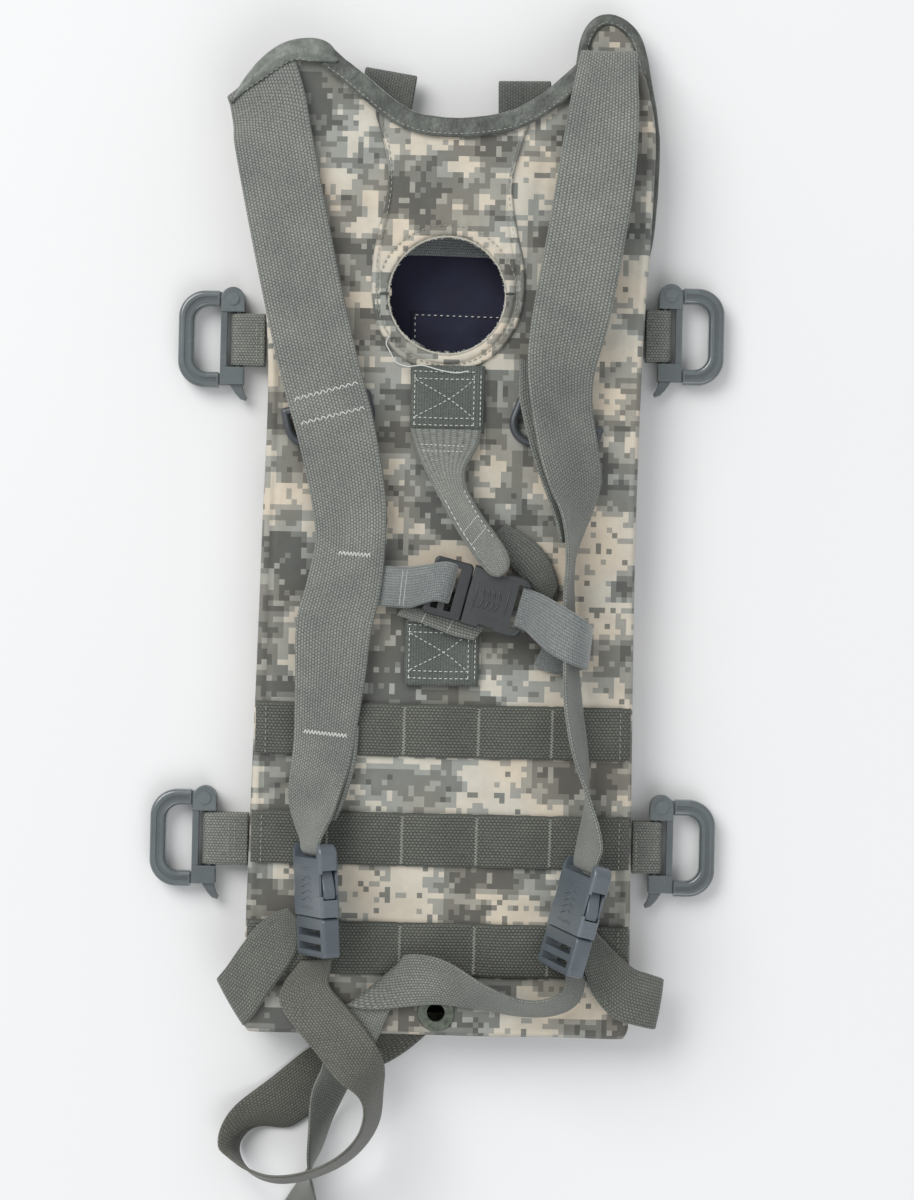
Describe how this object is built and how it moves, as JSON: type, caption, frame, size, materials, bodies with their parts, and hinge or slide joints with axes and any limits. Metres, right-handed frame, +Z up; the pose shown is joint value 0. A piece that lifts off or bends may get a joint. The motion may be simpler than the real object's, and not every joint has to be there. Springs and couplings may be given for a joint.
{
  "type": "hydration pack",
  "caption": "Flat strap-on hydration carrier with filler port, shoulder and chest straps, locking hooks and webbing rows.",
  "frame": {"origin": "on the flat underside, on the centre line, 236.5 mm above the base edge along +Y", "axes": "+Z up out of the wearer's panel, +Y towards the neck, +X to the right seen from above"},
  "size_m": [0.2729, 0.605, 0.0669],
  "materials": {
    "camouflage_cloth": "coated nylon, pixel camouflage of sand, grey-green and dark grey",
    "binding_cloth": "woven tape, grey-green",
    "lining_cloth": "plain weave, dark navy",
    "webbing": "ribbed nylon webbing, foliage grey",
    "dark_webbing": "ribbed nylon webbing, dark grey",
    "hook_polymer": "glass-filled nylon, grey-green, slightly glossy",
    "buckle_polymer": "moulded acetal, slate grey",
    "dark_buckle_polymer": "moulded acetal, near black",
    "ring_polymer": "moulded nylon, dark grey",
    "blackened_metal": "blackened brass"
  },
  "bodies": {
    "pack": {"anchor_strap_left": "webbing", "anchor_strap_right": "webbing", "back_panel": "camouflage_cloth", "buckle_plug_left": "buckle_polymer", "buckle_plug_right": "buckle_polymer", "buckle_socket_sternum": "dark_buckle_polymer", "carry_handle": "webbing", "drain_grommet": "blackened_metal", "front_panel": "camouflage_cloth", "grommet_washer": "blackened_metal", "handle_patches": "webbing", "hanger_loops": "dark_webbing", "hook_tab_lower_left": "webbing", "hook_tab_lower_right": "webbing", "hook_tab_upper_left": "webbing", "hook_tab_upper_right": "webbing", "inner_lining": "lining_cloth", "inner_pocket": "lining_cloth", "neck_binding": "binding_cloth", "port_panel": "camouflage_cloth", "reservoir_band": "webbing", "ring_keepers": "webbing", "shoulder_strap_left": "webbing", "shoulder_strap_right": "webbing", "side_gusset": "camouflage_cloth", "sternum_loop": "webbing", "sternum_strap_left": "webbing", "sternum_strap_right": "webbing", "sternum_tail": "webbing", "strap_tail_left": "webbing", "strap_tail_right": "webbing", "tube_flap_binding": "binding_cloth", "tube_flap_left": "binding_cloth", "tube_flap_right": "camouflage_cloth", "webbing_row_lower": "webbing", "webbing_row_middle": "webbing", "webbing_row_upper": "webbing"},
    "hook_upper_left": {"hook_base_upper_left": "hook_polymer"},
    "bow_upper_left": {"hook_bow_upper_left": "hook_polymer"},
    "latch_upper_left": {"hook_latch_upper_left": "hook_polymer"},
    "hook_upper_right": {"hook_base_upper_right": "hook_polymer"},
    "bow_upper_right": {"hook_bow_upper_right": "hook_polymer"},
    "latch_upper_right": {"hook_latch_upper_right": "hook_polymer"},
    "hook_lower_left": {"hook_base_lower_left": "hook_polymer"},
    "bow_lower_left": {"hook_bow_lower_left": "hook_polymer"},
    "latch_lower_left": {"hook_latch_lower_left": "hook_polymer"},
    "hook_lower_right": {"hook_base_lower_right": "hook_polymer"},
    "bow_lower_right": {"hook_bow_lower_right": "hook_polymer"},
    "latch_lower_right": {"hook_latch_lower_right": "hook_polymer"},
    "socket_left": {"buckle_socket_left": "buckle_polymer"},
    "prong_left_a": {"buckle_prong_left_a": "buckle_polymer"},
    "prong_left_b": {"buckle_prong_left_b": "buckle_polymer"},
    "socket_right": {"buckle_socket_right": "buckle_polymer"},
    "prong_right_a": {"buckle_prong_right_a": "buckle_polymer"},
    "prong_right_b": {"buckle_prong_right_b": "buckle_polymer"},
    "plug_sternum": {"buckle_plug_sternum": "dark_buckle_polymer"},
    "prong_sternum_a": {"buckle_prong_sternum_a": "dark_buckle_polymer"},
    "prong_sternum_b": {"buckle_prong_sternum_b": "dark_buckle_polymer"},
    "ring_left": {"strap_ring_left": "ring_polymer"},
    "ring_right": {"strap_ring_right": "ring_polymer"}
  },
  "joints": [
    {"name": "swing_upper_left", "type": "hinge", "parent": "pack", "child": "hook_upper_left", "pos_m": [-0.10237, 0.095, 0.0054], "axis": [0, 1, 0], "range_deg": [0, 80]},
    {"name": "bow_upper_left", "type": "hinge", "parent": "hook_upper_left", "child": "bow_upper_left", "pos_m": [-0.10537, 0.1146, 0.0054], "axis": [0, 0, -1], "range_deg": [0, 45]},
    {"name": "latch_upper_left", "type": "hinge", "parent": "hook_upper_left", "child": "latch_upper_left", "pos_m": [-0.10257, 0.0761, 0.0054], "axis": [0, 0, -1], "range_deg": [-16, 0], "stiffness_Nm_per_rad": 0.05},
    {"name": "swing_upper_right", "type": "hinge", "parent": "pack", "child": "hook_upper_right", "pos_m": [0.10314, 0.101, 0.0054], "axis": [0, -1, 0], "range_deg": [0, 80]},
    {"name": "bow_upper_right", "type": "hinge", "parent": "hook_upper_right", "child": "bow_upper_right", "pos_m": [0.10614, 0.1206, 0.0054], "axis": [0, 0, 1], "range_deg": [0, 45]},
    {"name": "latch_upper_right", "type": "hinge", "parent": "hook_upper_right", "child": "latch_upper_right", "pos_m": [0.10334, 0.0821, 0.0054], "axis": [0, 0, 1], "range_deg": [-16, 0], "stiffness_Nm_per_rad": 0.05},
    {"name": "swing_lower_left", "type": "hinge", "parent": "pack", "child": "hook_lower_left", "pos_m": [-0.11092, -0.146, 0.0054], "axis": [0, 1, 0], "range_deg": [0, 80]},
    {"name": "bow_lower_left", "type": "hinge", "parent": "hook_lower_left", "child": "bow_lower_left", "pos_m": [-0.11392, -0.1264, 0.0054], "axis": [0, 0, -1], "range_deg": [0, 45]},
    {"name": "latch_lower_left", "type": "hinge", "parent": "hook_lower_left", "child": "latch_lower_left", "pos_m": [-0.11112, -0.1649, 0.0054], "axis": [0, 0, -1], "range_deg": [-16, 0], "stiffness_Nm_per_rad": 0.05},
    {"name": "swing_lower_right", "type": "hinge", "parent": "pack", "child": "hook_lower_right", "pos_m": [0.10396, -0.146, 0.0054], "axis": [0, -1, 0], "range_deg": [0, 80]},
    {"name": "bow_lower_right", "type": "hinge", "parent": "hook_lower_right", "child": "bow_lower_right", "pos_m": [0.10696, -0.1264, 0.0054], "axis": [0, 0, 1], "range_deg": [0, 45]},
    {"name": "latch_lower_right", "type": "hinge", "parent": "hook_lower_right", "child": "latch_lower_right", "pos_m": [0.10416, -0.1649, 0.0054], "axis": [0, 0, 1], "range_deg": [-16, 0], "stiffness_Nm_per_rad": 0.05},
    {"name": "slide_left", "type": "slide", "parent": "pack", "child": "socket_left", "axis": [-0.061, 0.9981, 0], "range_m": [0, 0.02437], "deforming": ["shoulder_strap_left", "buckle_prong_left_a", "buckle_prong_left_b"]},
    {"name": "squeeze_left_a", "type": "hinge", "parent": "pack", "child": "prong_left_a", "pos_m": [-0.06132, -0.17829, 0.03948], "axis": [0.9046, 0.0553, -0.4226], "range_deg": [0, 6], "stiffness_Nm_per_rad": 0.4},
    {"name": "squeeze_left_b", "type": "hinge", "parent": "pack", "child": "prong_left_b", "pos_m": [-0.05188, -0.17771, 0.05978], "axis": [-0.9046, -0.0553, 0.4226], "range_deg": [0, 6], "stiffness_Nm_per_rad": 0.4},
    {"name": "slide_right", "type": "slide", "parent": "pack", "child": "socket_right", "axis": [0.2504, 0.9681, 0], "range_m": [0, 0.02437], "deforming": ["shoulder_strap_right", "buckle_prong_right_a", "buckle_prong_right_b"]},
    {"name": "squeeze_right_a", "type": "hinge", "parent": "pack", "child": "prong_right_a", "pos_m": [0.05792, -0.18181, 0.03948], "axis": [0.8774, -0.2269, -0.4226], "range_deg": [0, 6], "stiffness_Nm_per_rad": 0.4},
    {"name": "squeeze_right_b", "type": "hinge", "parent": "pack", "child": "prong_right_b", "pos_m": [0.06708, -0.18419, 0.05978], "axis": [-0.8774, 0.2269, 0.4226], "range_deg": [0, 6], "stiffness_Nm_per_rad": 0.4},
    {"name": "slide_sternum", "type": "slide", "parent": "pack", "child": "plug_sternum", "axis": [-0.9703, 0.2419, 0], "range_m": [0, 0.0194], "deforming": ["sternum_strap_left", "buckle_prong_sternum_a", "buckle_prong_sternum_b"]},
    {"name": "squeeze_sternum_a", "type": "hinge", "parent": "plug_sternum", "child": "prong_sternum_a", "pos_m": [0.01306, -0.01725, 0.0405], "axis": [0, 0, -1], "range_deg": [0, 6], "stiffness_Nm_per_rad": 0.4},
    {"name": "squeeze_sternum_b", "type": "hinge", "parent": "plug_sternum", "child": "prong_sternum_b", "pos_m": [0.00894, -0.03375, 0.0405], "axis": [0, 0, 1], "range_deg": [0, 6], "stiffness_Nm_per_rad": 0.4},
    {"name": "ring_left", "type": "hinge", "parent": "pack", "child": "ring_left", "pos_m": [-0.0585, 0.064, 0.0325], "axis": [-0.9703, -0.2419, 0], "range_deg": [0, 10]},
    {"name": "ring_right", "type": "hinge", "parent": "pack", "child": "ring_right", "pos_m": [0.053, 0.06, 0.0325], "axis": [-0.9397, 0.342, 0], "range_deg": [0, 10]}
  ],
  "couplings": [
    {"joint": "squeeze_left_b", "follows": "squeeze_left_a", "ratio": 1},
    {"joint": "squeeze_right_b", "follows": "squeeze_right_a", "ratio": 1},
    {"joint": "squeeze_sternum_b", "follows": "squeeze_sternum_a", "ratio": 1}
  ]
}
